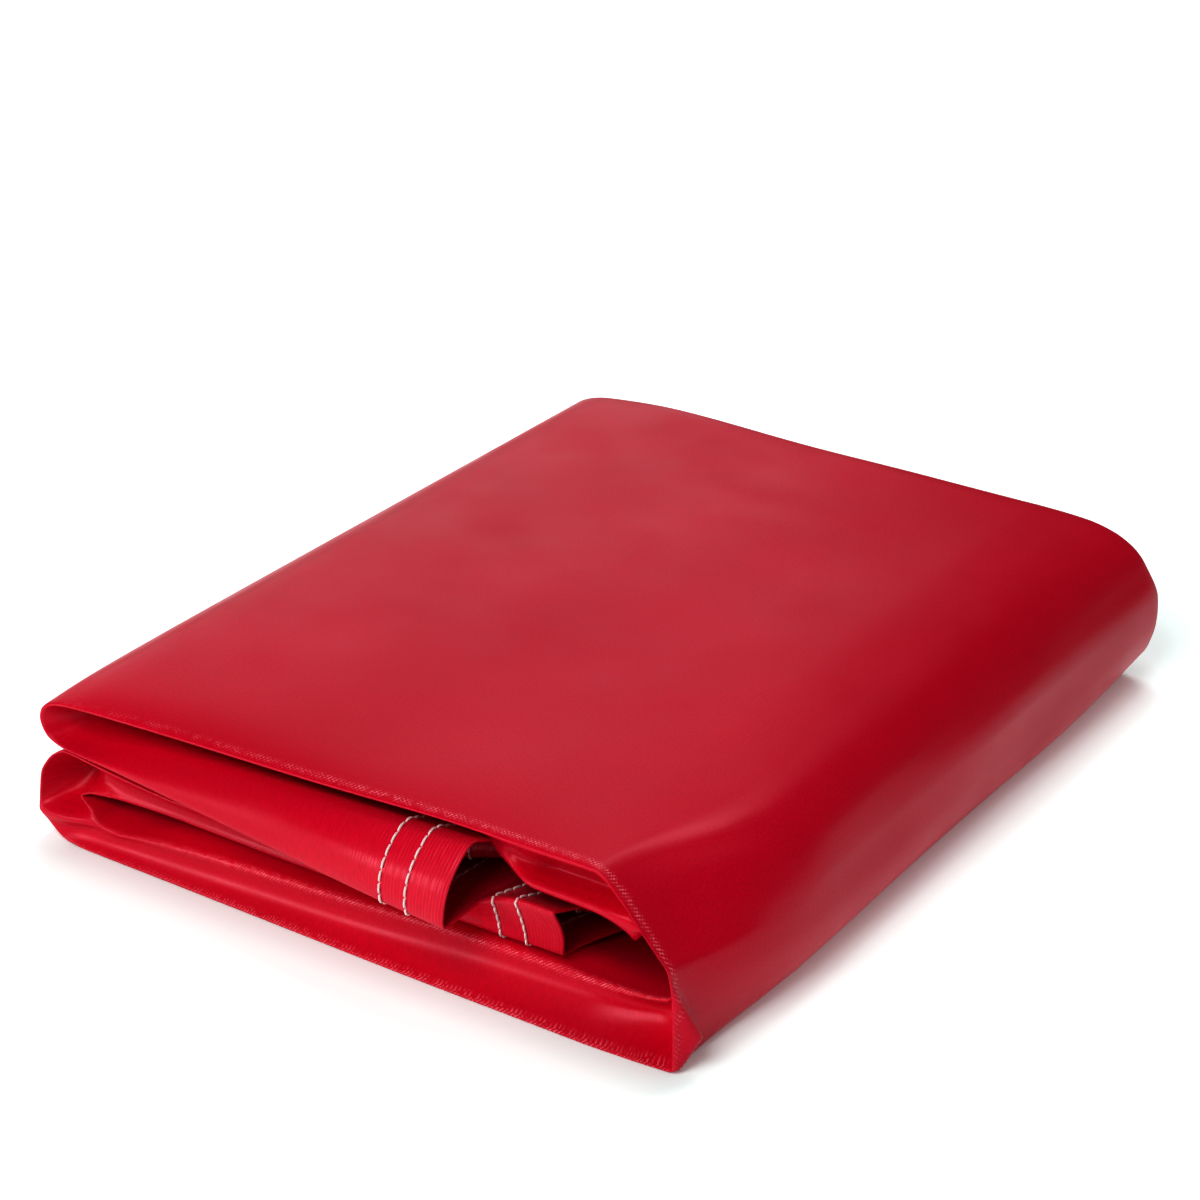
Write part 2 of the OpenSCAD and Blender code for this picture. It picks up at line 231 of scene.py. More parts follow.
# Stretches of the strip, as the values of t where each begins, is full, begins to end, and ends
ON_TOP = (3.6, 4.0, 4.8, 5.2)
AT_SPINE = (3.1, 3.25, 3.6, 3.8)
AT_LIP = (3.66, 3.78, 4.12, 4.2)
AT_REST = (2.05, 2.25, 2.8, 3.0)

# A ply goes from its front crease to its middle over these depths, sideways and upwards
OUTER_EASE = 80.0
INNER_EASE = 70.0
RISE_EASE = 24.0

# The top sinks towards the back and is crowned at the front, and the spine's foot tucks in at the back
BACK_EASE = 110.0
BACK_DROP = 3.2
CROWN = 1.5
CROWN_EASE = 14.0
FOOT_TUCK = 5.0

# Height of the soft waves, and the depth over which they begin
TOP_WAVE = 0.45
SPINE_WAVE = 0.9
WAVE_EASE = 40.0

# The inner ply hangs in a lip at the top of the spine, and rests on the inner fold at the bottom
LIP_DROP = 13.0
LIP_EASE = 20.0
REST_LIFT = 3.2
REST_DEPTH = 13.0
REST_W = 10.0


class Strip:
    """The folded strip: places of its plies and folds at the columns t."""

    def __init__(self, t):
        self.t = t
        self.outer_middle = pchip(t, OUTER_MIDDLE)
        self.inner_middle = pchip(t, INNER_MIDDLE)
        self.outer_crease = pchip(t, OUTER_CREASE)
        self.inner_crease = pchip(t, INNER_CREASE)
        self.band_middle = (self.outer_crease + self.inner_crease) / 2 + pchip(t, BAND_BULGE)
        self.roundness = pchip(t, ROUNDNESS)

    def eased(self, y, crease, middle, ease):
        """Depth behind the front crease, x and z of a ply at the depths y."""
        depth = y - crease[:, 1:2]
        along = smooth(depth / ease)
        up = 1 - np.exp(-np.maximum(depth, 0) / RISE_EASE)
        x = crease[:, :1] + (middle[:, :1] - crease[:, :1]) * along
        z = crease[:, 2:3] + (middle[:, 1:2] - crease[:, 2:3]) * up
        return depth, x, z

    def back_drop(self, y):
        """How far the top sinks towards the back."""
        t = self.t[:, None]
        far = smooth((y - DEPTH + BACK_EASE) / BACK_EASE)
        return BACK_DROP * far * stretch(t, ON_TOP) * smooth((4.95 - t) / 0.7)

    def ear(self, depth):
        """How far the small corner at the foot of the spine sticks out."""
        size = np.interp(self.t[:, None], EAR_T, (0, 1, 0))
        ridge = np.maximum(EAR_DEPTH * size, 0.5)
        reach = np.where(depth < ridge, depth / ridge, 1 - (depth - ridge) / EAR_FALL)
        return EAR_H * size * smooth(reach)

    def soft_waves(self, y, depth):
        t = self.t[:, None]
        wave = np.sin(y / 47 + 2.2 * t) + 0.7 * np.sin(y / 29 - 9.0 * t + 1.3) + 0.5 * np.sin(y / 71 + 15 * t)
        return wave * smooth(depth / WAVE_EASE)

    def outer(self, y):
        """Outer ply at the depths y, one row of depths for each column: x, y, z."""
        t = self.t[:, None]
        depth, x, z = self.eased(y, self.outer_crease, self.outer_middle, OUTER_EASE)
        waves_here = self.soft_waves(y, depth)
        tuck = FOOT_TUCK * smooth((y - DEPTH + BACK_EASE) / BACK_EASE) * bump(t, 3.12, 0.12)
        crown = CROWN * (1 - np.exp(-np.maximum(depth, 0) / CROWN_EASE))
        x = x - tuck + self.ear(depth) + SPINE_WAVE * waves_here * stretch(t, AT_SPINE)
        z = z - self.back_drop(y) + (crown + TOP_WAVE * waves_here) * stretch(t, ON_TOP)
        return np.stack([x, y, z], -1)

    def inner(self, y):
        """Inner ply at the depths y: x, y, z."""
        t = self.t[:, None]
        depth, x, z = self.eased(y, self.inner_crease, self.inner_middle, INNER_EASE)
        lip = LIP_DROP * stretch(t, AT_LIP) * np.exp(-np.maximum(depth, 0) / LIP_EASE)
        lift = REST_LIFT * stretch(t, AT_REST) * bump(depth, REST_DEPTH, REST_W)
        return np.stack([x, y, z - self.back_drop(y) - lip + lift], -1)

    def between(self, y, share):
        """A middle ply, at its share of the way from the outer ply to the inner one."""
        low, high = self.outer(y), self.inner(y)
        return low + (high - low) * share

    def band(self):
        """The band of the front fold, without the round creases at its two edges."""
        crease_in, crease_out = self.inner_crease, self.outer_crease
        pull = 2 * self.band_middle - (crease_in + crease_out) / 2
        leg_in = 2 * np.linalg.norm(pull - crease_in, axis=1)
        leg_out = 2 * np.linalg.norm(pull - crease_out, axis=1)
        start = np.clip(self.roundness[:, 0] / leg_in, 0.03, 0.4)[:, None]
        end = 1 - np.clip(self.roundness[:, 1] / leg_out, 0.03, 0.4)[:, None]
        along = start + (end - start) * np.linspace(0, 1, 11)[None]
        return bezier(crease_in, pull, crease_out, along[..., None])


# Rows of the mesh: behind the front crease, before the back edge, and shares of the way between them
NEAR_FRONT = np.array([3, 4, 5, 6, 7, 8, 9, 10, 11, 12, 13, 14.5, 16, 18, 20, 25, 31, 38, 46, 55])
NEAR_BACK = np.array([0, 6, 12, 18, 24.5, 31, 38])
BETWEEN = np.linspace(0, 1, 14)[1:-1]
IN_CREASE = np.linspace(0, 1, 7)[1:-1][None, :, None]
SIDE_ROWS = len(NEAR_BACK)

BACK_ROOM = 3.0
TURN_REACH = 2.7
NEST_ROOM = 5.0
END_NEST_ROOM = 24.0
END_NEST_T = 0.2


def strip_columns():
    parts = [np.linspace(k, k + 1, n + 1)[:-1] for k, n in enumerate(COLUMNS)]
    t = np.append(np.concatenate(parts), UPPER_HEM)
    return np.sort(np.append(t, CUT))


def ply_depths(front, back):
    """Depths of a ply's rows, front to back, for each column."""
    near = front[:, None] + NEAR_FRONT
    far = back[:, None] - NEAR_BACK[::-1]
    middle = near[:, -1:] + (far[:, :1] - near[:, -1:]) * BETWEEN
    return np.concatenate([near, middle, far], 1)


def strip_grid(t):
    """Grid of points, columns by rows, and the rows of each part."""
    s = Strip(t)
    crease_in, crease_out = s.inner_crease, s.outer_crease
    hem_back = np.full(len(t), DEPTH - HEM_INSET)
    fold_back = np.full(len(t), DEPTH - BACK_ROOM)
    inner_y = ply_depths(crease_in[:, 1] + s.roundness[:, 0] - NEAR_FRONT[0], hem_back)
    outer_y = ply_depths(crease_out[:, 1] + s.roundness[:, 1] - NEAR_FRONT[0], fold_back)

    # The inner fold of the front lies behind the band
    deepest = np.maximum(np.maximum(crease_in[:, 1], crease_out[:, 1]), s.band_middle[:, 1] * 1.05)
    near_ends = smooth(1 - t / END_NEST_T) + smooth(1 - (UPPER_HEM - t) / END_NEST_T)
    nested = deepest + NEST_ROOM + END_NEST_ROOM * near_ends
    ply4 = s.inner(inner_y)[:, ::-1]
    band = s.band()
    ply1 = s.outer(outer_y)
    ply2 = s.between(ply_depths(nested, fold_back), 1 / 3)[:, ::-1]
    ply3 = s.between(ply_depths(nested, hem_back), 2 / 3)
    parts = {
        "ply4": ply4,
        "round_in": bezier(ply4[:, -1], crease_in, band[:, 0], IN_CREASE),
        "band": band,
        "round_out": bezier(band[:, -1], crease_out, ply1[:, 0], IN_CREASE),
        "ply1": ply1,
        "back_turn": half_round(ply1[:, -1], ply2[:, 0], TURN_REACH),
        "ply2": ply2,
        "front_turn": half_round(ply2[:, -1], ply3[:, 0], -TURN_REACH),
        "ply3": ply3,
    }
    first, rows = 0, {}
    for name, part in parts.items():
        rows[name] = slice(first, first + part.shape[1])
        first += part.shape[1]
    return np.concatenate(list(parts.values()), 1), rows


def grid_normals(grid):
    """Directions of the cloth's inner side, the side that its hems are turned to."""
    along = np.gradient(grid, axis=0)
    across = np.gradient(grid, axis=1)
    return unit(np.cross(along, across))


t_all = strip_columns()
grid_all, row_of = strip_grid(t_all)
normals_all = grid_normals(grid_all)

# Flat coordinates of the sheet: rows by the section in the middle of the top, columns by the outer ply
section = grid_all[np.searchsorted(t_all, 4.5)]
row_flat = np.append(0.0, np.cumsum(np.linalg.norm(np.diff(section, axis=0), axis=1)))
path = Strip(t_all).outer(np.full((len(t_all), 1), DEPTH / 2))[:, 0]
column_flat = np.append(0.0, np.cumsum(np.linalg.norm(np.diff(path, axis=0), axis=1)))


# ---- Hems ----

# A hem's rim is a half round of three rows
RIM_ANGLES = (0.75 * math.pi, 0.5 * math.pi, 0.25 * math.pi)
RIM_ROWS = len(RIM_ANGLES)
RIM_FLAT = np.array([0.9, 0.6, 0.3])


def turned_back(values, count):
    """The rows of a hem and its rim, with the values of the cloth that they lie on, and then the cloth's."""
    return np.concatenate([values[:count][::-1], np.repeat(values[:1], RIM_ROWS, axis=0), values])


def with_hem(points, up, face, count, gap):
    """The cloth with a hem turned back over its first rows.

    up is the way that layers pile up, and face is the way that the cloth's inner side looks.
    """
    outward = unit(points[0] - points[1])
    lean = (face[0] * up[0]).sum(-1, keepdims=True)
    rim, rim_face = [], []
    for phi in RIM_ANGLES:
        lift = gap * (1 - math.cos(phi)) / 2
        rim.append(points[0] + up[0] * lift + outward * gap / 2 * math.sin(phi))
        turned_up = up[0] * math.cos(phi) - outward * math.sin(phi)
        rim_face.append(face[0] + lean * (turned_up - up[0]))
    turned = points[:count] + up[:count] * gap
    turned_face = face[:count] - 2 * (face[:count] * up[:count]).sum(-1, keepdims=True) * up[:count]
    new_points = np.concatenate([turned[::-1], np.array(rim), points])
    new_face = np.concatenate([turned_face[::-1], np.array(rim_face), face])
    return new_points, turned_back(up, count), new_face


def axis_with_hem(values, count):
    """Flat coordinates for with_hem: they run on past the edge into the hem."""
    edge, step = values[0], np.sign(values[1] - values[0])
    turned = edge - (values[:count] - edge)
    rim = edge - step * RIM_FLAT
    return np.concatenate([turned[::-1], rim, values])


def with_side_hems(points, up, marks):
    """The grid of a piece with its two sides hemmed, its marks, and its flat coordinates across."""
    layers = [a.transpose(1, 0, 2) for a in (points, up, up)]
    across, rows = row_flat, np.arange(marks.shape[1])
    for _ in range(2):
        layers = [a[::-1] for a in with_hem(*layers, SIDE_ROWS, HEM_GAP)]
        across = axis_with_hem(across, SIDE_ROWS)[::-1]
        rows = turned_back(rows, SIDE_ROWS)[::-1]
    points, up, face = (a.transpose(1, 0, 2) for a in layers)
    return points, up, face, marks[:, rows], across


def with_end_hem(points, up, face, marks, along):
    """The grid of a piece with a hem at its first column, which goes round the side hems."""
    gap = np.full((points.shape[1], 1), HEM_GAP)
    past_rim = SIDE_ROWS + RIM_ROWS
    gap[SIDE_ROWS:past_rim] = 2 * HEM_GAP
    gap[-past_rim:-SIDE_ROWS] = 2 * HEM_GAP
    gap[past_rim:past_rim + SIDE_ROWS] = 3 * HEM_GAP
    gap[-past_rim - SIDE_ROWS:-past_rim] = 3 * HEM_GAP
    count = int(np.searchsorted(np.abs(along - along[0]), HEM_W)) + 1
    points, _, face = with_hem(points, up, face, count, gap)
    return points, face, turned_back(marks, count), axis_with_hem(along, count)


# ---- Pieces of cloth ----

def mesh_piece(name, points, faces, uv, attributes=(), flat_faces=0):
    """A mesh object from points in millimetres, in the guides' frame.

    The last flat_faces faces are shaded flat.
    """
    mesh = bpy.data.meshes.new(name)
    placed = (points + ORIGIN) * MM
    mesh.from_pydata(placed.tolist(), [], faces)
    mesh.update()
    layer = mesh.uv_layers.new(name="sheet")
    loops = np.zeros(len(mesh.loops), np.int32)
    mesh.loops.foreach_get("vertex_index", loops)
    layer.data.foreach_set("uv", uv[loops].astype(np.float32).ravel())
    for key, values in attributes:
        attribute = mesh.attributes.new(key, "FLOAT", "POINT")
        attribute.data.foreach_set("value", values.astype(np.float32))
    smooth_faces = np.ones(len(mesh.polygons), bool)
    if flat_faces:
        smooth_faces[-flat_faces:] = False
    mesh.polygons.foreach_set("use_smooth", smooth_faces)
    piece = bpy.data.objects.new(name, mesh)
    bpy.context.scene.collection.objects.link(piece)
    return piece


def grid_faces(columns, rows):
    index = np.arange(columns * rows).reshape(columns, rows)
    quads = [index[:-1, :-1], index[1:, :-1], index[1:, 1:], index[:-1, 1:]]
    return np.stack(quads, -1).reshape(-1, 4).tolist()


def border(columns, rows):
    """Indexes round the edge of a grid of points."""
    index = np.arange(columns * rows).reshape(columns, rows)
    sides = [index[:-1, 0], index[-1, :-1], index[1:, -1][::-1], index[0, 1:][::-1]]
    return np.concatenate(sides).tolist()


def crease_marks(t, points):
    """How strongly the coating is whitened along the creases, for each column and row."""
    run = np.cumsum(np.linalg.norm(np.diff(points, axis=1, prepend=points[:, :1]), axis=2), axis=1)
    marks = np.zeros(points.shape[:2])
    for name, guide in (("round_out", OUTER_WEAR), ("round_in", INNER_WEAR)):
        wear = pchip(t, guide)
        middle = (row_of[name].start + row_of[name].stop) // 2
        distance = run - run[:, middle:middle + 1] - wear[:, 1:2]
        marks = np.maximum(marks, wear[:, :1] * np.exp(-(distance / WEAR_W) ** 2))
    return marks


def two_sided(name, points, face, uv, attributes):
    """A piece with both faces of the cloth and its edges, from the grid of the cloth's middle."""
    columns, rows = points.shape[:2]
    total = columns * rows
    quads = grid_faces(columns, rows)
    edge = border(columns, rows)
    rim = [[b, a, a + total, b + total] for a, b in zip(edge, edge[1:] + edge[:1])]
    faces = quads + [[i + total for i in reversed(q)] for q in quads] + rim
    half = face * CLOTH / 2
    both = np.concatenate([(points + half).reshape(-1, 3), (points - half).reshape(-1, 3)])
    attributes = [(key, np.tile(values.ravel(), 2)) for key, values in attributes]
    return mesh_piece(name, both, faces, np.tile(uv, (2, 1)), attributes, len(rim))


def shade_across_cut(piece, face, cut):
    """Gives the points of the cut the cloth's own normals, so that the two pieces are shaded as one."""
    columns, rows = face.shape[:2]
    total = columns * rows
    normals = face.reshape(-1, 3)
    shading = np.zeros((2 * total, 3))
    shading[cut] = normals[cut]
    shading[cut.start + total:cut.stop + total] = -normals[cut]
    corners = np.zeros(len(piece.data.loops), np.int32)
    piece.data.loops.foreach_get("vertex_index", corners)
    shading = shading[corners]
    shading[-4 * len(border(columns, rows)):] = 0.0
    piece.data.normals_split_custom_set(shading.tolist())


def cloth_piece(name, first, last, hem_end):
    """One piece of the sheet: the columns first to last, hemmed at its sides and at one end."""
    chosen = slice(first, last + 1)
    marks = crease_marks(t_all[chosen], grid_all[chosen])
    *grids, across = with_side_hems(grid_all[chosen], normals_all[chosen], marks)
    layers = [*grids, column_flat[chosen]]
    if hem_end == "last":
        layers = [a[::-1] for a in layers]
    layers = with_end_hem(*layers)
    if hem_end == "last":
        layers = [a[::-1] for a in layers]
    points, face, marks, along = layers

    columns, rows = points.shape[:2]
    uv = np.stack(np.broadcast_arrays(across[None] * MM, along[:, None] * MM), -1).reshape(-1, 2)
    to_hem = np.minimum(along - column_flat[0], column_flat[-1] - along)
    near_end = np.broadcast_to(np.exp(-(to_hem / SEWN_W) ** 2)[:, None], (columns, rows))
    piece = two_sided(name, points, face, uv, [("crease", marks), ("sewn", near_end)])
    cut = slice((columns - 1) * rows, columns * rows) if hem_end == "first" else slice(0, rows)
    shade_across_cut(piece, face, cut)
    return piece


# ---- Stitches ----

# Along one stitch: where its rings are, their height above the cloth, and their size
PROFILE_AT = np.array([0.0, 0.14, 0.5, 0.86, 1.0])
PROFILE_UP = np.array([-0.4, 0.12, 0.26, 0.12, -0.4])
PROFILE_R = np.array([0.7, 1.0, 1.05, 1.0, 0.7])
SIDES = 6
NEEDLE_LIFT = -(CLOTH / 2 + THREAD_R * 0.5)
BOBBIN_LIFT = HEM_GAP + CLOTH / 2 + THREAD_R * 0.5
ROWS = (ROW_EDGE, ROW_EDGE + ROW_GAP)


def resampled(line, normals, length):
    """Points and directions at the given lengths along a line."""
    run = np.append(0.0, np.cumsum(np.linalg.norm(np.diff(line, axis=0), axis=1)))
    spot = np.stack([np.interp(length, run, line[:, k]) for k in range(3)], -1)
    way = np.stack([np.interp(length, run, normals[:, k]) for k in range(3)], -1)
    return spot, unit(way)


def stitches(line, normals, lift):
    """Rings of small thread loops along a line, lifted off the cloth's middle."""
    run = float(np.linalg.norm(np.diff(line, axis=0), axis=1).sum())
    count = int(run // STITCH)
    start = (run - count * STITCH) / 2 + STITCH * np.arange(count) + STITCH_GAP / 2
    length = start[:, None] + PROFILE_AT[None] * (STITCH - STITCH_GAP)
    spot, up = resampled(line, normals, length.ravel())
    spot, up = spot.reshape(count, -1, 3), up.reshape(count, -1, 3)
    tangent = unit(np.gradient(spot, axis=1))
    side = unit(np.cross(up, tangent))
    up = unit(np.cross(tangent, side))
    height = np.abs(lift) + PROFILE_UP
    centre = spot + up * np.sign(lift) * height[None, :, None]
    angle = 2 * np.pi * np.arange(SIDES) / SIDES
    ring = side[:, :, None] * np.cos(angle)[:, None] + up[:, :, None] * np.sin(angle)[:, None]
    return centre[:, :, None] + ring * (THREAD_R * PROFILE_R)[None, :, None, None]


def thread_piece(name, rows):
    """One piece from several rows of stitches."""
    loops = np.concatenate(rows)
    count, rings = loops.shape[:2]
    index = np.arange(count * rings * SIDES).reshape(count, rings, SIDES)
    turned = np.roll(index, -1, axis=2)
    quads = np.stack([index[:, :-1], turned[:, :-1], turned[:, 1:], index[:, 1:]], -1).reshape(-1, 4)
    caps = [c.tolist() for c in index[:, 0, ::-1]] + [c.tolist() for c in index[:, -1]]
    around = np.broadcast_to(np.arange(SIDES) / SIDES, (count, rings, SIDES))
    along = np.broadcast_to((PROFILE_AT * STITCH)[None, :, None], (count, rings, SIDES))
    uv = np.stack([around, along], -1).reshape(-1, 2)
    return mesh_piece(name, loops.reshape(-1, 3), quads.tolist() + caps, uv)


def at_column(distance, from_end):
    """Line across the strip at a distance from one of its hem edges."""
    where = column_flat[-1] - distance if from_end else distance
    i = int(np.clip(np.searchsorted(column_flat, where) - 1, 0, len(column_flat) - 2))
    share = (where - column_flat[i]) / (column_flat[i + 1] - column_flat[i])
    line = grid_all[i] * (1 - share) + grid_all[i + 1] * share
    way = unit(normals_all[i] * (1 - share) + normals_all[i + 1] * share)
    return line[SIDE_ROWS:-SIDE_ROWS], way[SIDE_ROWS:-SIDE_ROWS]


def at_row(distance, last_ply, columns):
    """Line along the strip at a distance from one of its side hem edges."""
    i = int(np.searchsorted(NEAR_BACK, distance) - 1)
    share = (distance - NEAR_BACK[i]) / (NEAR_BACK[i + 1] - NEAR_BACK[i])
    a, b = (-1 - i, -2 - i) if last_ply else (i, i + 1)
    line = grid_all[columns, a] * (1 - share) + grid_all[columns, b] * share
    way = unit(normals_all[columns, a] * (1 - share) + normals_all[columns, b] * share)
    return line, way


def end_stitches(name, from_end, lift):
    return thread_piece(name, [stitches(*at_column(row, from_end), lift) for row in ROWS])


def side_stitches(name, columns):
    lifts = (NEEDLE_LIFT, BOBBIN_LIFT)
    lines = [at_row(row, last_ply, columns) for last_ply in (False, True) for row in ROWS]
    return thread_piece(name, [stitches(*line, lift) for line in lines for lift in lifts])


cut_column = int(np.searchsorted(t_all, CUT))
last_column = len(t_all) - 1
lower_cloth = cloth_piece("lower_cloth", 0, cut_column, "first")
upper_cloth = cloth_piece("upper_cloth", cut_column, last_column, "last")
lower_needle = end_stitches("lower_flap_needle_stitches", False, NEEDLE_LIFT)
lower_bobbin = end_stitches("lower_flap_bobbin_stitches", False, BOBBIN_LIFT)
upper_needle = end_stitches("upper_flap_needle_stitches", True, NEEDLE_LIFT)
upper_bobbin = end_stitches("upper_flap_bobbin_stitches", True, BOBBIN_LIFT)
lower_sides = side_stitches("lower_side_stitches", slice(0, cut_column + 1))
upper_sides = side_stitches("upper_side_stitches", slice(cut_column, last_column + 1))

# ---- Materials ----
# Lengths in the materials are in metres.

class Nodes:
    """Short calls for building a node tree."""

    def __init__(self, tree):
        self.tree = tree
        tree.nodes.clear()

    def add(self, kind):
        return self.tree.nodes.new(kind)

    def link(self, a, b):
        self.tree.links.new(a, b)

    def math(self, operation, *values):
        node = self.add("ShaderNodeMath")
        node.operation = operation
        for socket, value in zip(node.inputs, values):
            if isinstance(value, float):
                socket.default_value = value
            else:
                self.link(value, socket)
        return node.outputs[0]

    def times(self, a, b):
        return self.math("MULTIPLY", a, b)

    def attribute(self, name):
        node = self.add("ShaderNodeAttribute")
        node.attribute_name = name
        return node.outputs["Fac"]

    def parts(self, vector):
        node = self.add("ShaderNodeSeparateXYZ")
        self.link(vector, node.inputs[0])
        return node.outputs

    def noise(self, vector, scale, detail, rough=0.5):
        node = self.add("ShaderNodeTexNoise")
        node.inputs["Scale"].default_value = scale
        node.inputs["Detail"].default_value = detail
        node.inputs["Roughness"].default_value = rough
        self.link(vector, node.inputs["Vector"])
        return node.outputs["Fac"]

    def mix(self, share, a, b):
        node = self.add("ShaderNodeMix")
        node.data_type = "RGBA"
        self.link(share, node.inputs[0])
        for socket, value in ((node.inputs[6], a), (node.inputs[7], b)):
            if isinstance(value, tuple):
                socket.default_value = (*value, 1.0)
            else:
                self.link(value, socket)
        return node.outputs[2]

    def remap(self, value, low, high, to_low=0.0, to_high=1.0):
        node = self.add("ShaderNodeMapRange")
        node.clamp = True
        self.link(value, node.inputs["Value"])
        for key, number in (("From Min", low), ("From Max", high), ("To Min", to_low), ("To Max", to_high)):
            node.inputs[key].default_value = number
        return node.outputs["Result"]

    def bump(self, height, strength, distance, normal=None):
        node = self.add("ShaderNodeBump")
        node.inputs["Strength"].default_value = strength
        node.inputs["Distance"].default_value = distance
        self.link(height, node.inputs["Height"])
        if normal is not None:
            self.link(normal, node.inputs["Normal"])
        return node.outputs["Normal"]

    def waves(self, coordinate, period):
        """Sine of the given period, 0 to 1."""
        turned = self.math("SINE", self.times(coordinate, 2 * math.pi / period))
        return self.math("MULTIPLY_ADD", turned, 0.5, 0.5)


def new_material(name):
    """A material, its node tree, its shader and its texture coordinates."""
    material = bpy.data.materials.new(name)
    material.use_nodes = True
    n = Nodes(material.node_tree)
    out = n.add("ShaderNodeOutputMaterial")
    shader = n.add("ShaderNodeBsdfPrincipled")
    n.link(shader.outputs[0], out.inputs[0])
    return material, n, shader, n.add("ShaderNodeTexCoord")


YARN = 0.0011
RIB = 0.0016


def scrim(n, flat):
    """Height of the yarns under the coating, and the ribs beside the end hems, which also mask a painted
    highlight.
    """
    u, v = n.parts(flat)[:2]
    sewn = n.attribute("sewn")
    broken = n.noise(flat, 900.0, 1.0)
    yarns = n.math("ADD", n.waves(u, YARN), n.waves(v, YARN))
    weave = n.times(yarns, n.remap(broken, 0.3, 0.7, 0.5, 1.0))
    ribs_and_sheen = n.times(n.times(n.waves(v, RIB), sewn), n.remap(broken, 0.3, 0.7, 0.4, 1.0))
    return n.times(weave, n.remap(sewn, 0.0, 1.0, 0.18, 0.75)), ribs_and_sheen


def crease_wear(n, flat, place):
    """Whitened specks along the creases, and the soft wear round them."""
    u, v = n.parts(flat)[:2]
    crease = n.attribute("crease")
    uneven = n.remap(n.noise(place, 800.0, 1.0), 0.3, 0.7)
    one_way = n.waves(n.math("MULTIPLY_ADD", u, 0.55, v), 0.0017)
    other_way = n.waves(n.math("MULTIPLY_ADD", u, -1.3, v), 0.0021)
    crossed = n.math("MULTIPLY_ADD", other_way, 0.6, n.math("MULTIPLY_ADD", uneven, 0.6, one_way))
    dash = n.remap(crossed, 1.2, 1.45)
    patchy = n.remap(n.noise(flat, 260.0, 2.0), 0.36, 0.56)
    specks = n.times(n.times(dash, patchy), crease)
    worn = n.times(n.remap(n.noise(flat, 60.0, 3.0), 0.35, 0.7, 0.2, 1.0), crease)
    return specks, worn


def cloth_material():
    material, n, shader, coord = new_material("coated_red_cloth")
    flat, place = coord.outputs["UV"], coord.outputs["Object"]
    weave_height, ribs_and_sheen = scrim(n, flat)
    specks, worn = crease_wear(n, flat, place)

    # Colour
    clouds = n.noise(place, 9.0, 3.0, 0.55)
    base = n.mix(n.remap(clouds, 0.35, 0.7), (0.58, 0.0, 0.030), (0.65, 0.0, 0.036))
    grain = n.remap(n.noise(flat, 850.0, 2.0), 0.35, 0.65, 0.0, 0.4)
    grained = n.mix(grain, base, (0.47, 0.0, 0.022))
    soft = n.mix(n.times(worn, 0.30), grained, (0.80, 0.045, 0.075))
    whitened = n.mix(n.times(specks, 0.85), soft, (0.98, 0.27, 0.34))
    # Painted highlight: the ribs beside the end hems are coloured a lighter pink, standing in for the satin
    # sheen there
    with_rib_sheen = n.mix(n.times(ribs_and_sheen, 0.30), whitened, (0.85, 0.08, 0.14))
    n.link(with_rib_sheen, shader.inputs["Base Color"])

    # Gloss
    mottle = n.noise(place, 26.0, 4.0, 0.6)
    rough = n.math("ADD", n.remap(mottle, 0.3, 0.7, 0.28, 0.38), n.times(specks, 0.12))
    n.link(rough, shader.inputs["Roughness"])
    shader.inputs["Specular IOR Level"].default_value = 0.4
    shader.inputs["Specular Tint"].default_value = (1.0, 0.56, 0.66, 1.0)

    # Relief
    normal = n.bump(n.noise(place, 14.0, 2.0, 0.4), 0.25, 0.0012)
    normal = n.bump(weave_height, 0.35, 0.00012, normal)
    normal = n.bump(ribs_and_sheen, 0.4, 0.00016, normal)
    normal = n.bump(n.noise(flat, 700.0, 2.0), 0.10, 0.0001, normal)
    normal = n.bump(specks, 0.6, 0.00025, normal)
    n.link(normal, shader.inputs["Normal"])
    return material


def thread_material():
    material, n, shader, coord = new_material("white_thread")
    around, along = n.parts(coord.outputs["UV"])[:2]
    strands = n.waves(n.math("ADD", n.times(around, 2.0), n.times(along, 1.2)), 1.0)
    fuzz = n.noise(coord.outputs["Object"], 1800.0, 2.0)
    colour = n.mix(strands, (0.78, 0.55, 0.55), (0.95, 0.84, 0.82))
    colour = n.mix(n.remap(fuzz, 0.4, 0.8, 0.0, 0.35), colour, (0.80, 0.60, 0.58))
    n.link(colour, shader.inputs["Base Color"])
    shader.inputs["Roughness"].default_value = 0.75
    shader.inputs["Specular IOR Level"].default_value = 0.45
    shader.inputs["Sheen Weight"].default_value = 0.2
    normal = n.bump(strands, 0.8, 0.00015)
    n.link(n.bump(fuzz, 0.3, 0.00008, normal), shader.inputs["Normal"])
    return material


# The floor glows as painted light, more the further it is from the middle, and less right beside the blanket,
# which paints a soft shadow round its foot
GLOW_NEAR, GLOW_FAR = 0.41, 1.4
GLOW_FROM, GLOW_TO = 0.3, 3.0
SHADE_HALF_X, SHADE_HALF_Y = 0.142, 0.188
SHADE_REACH = 0.020
SHADE_LEFT = 0.35


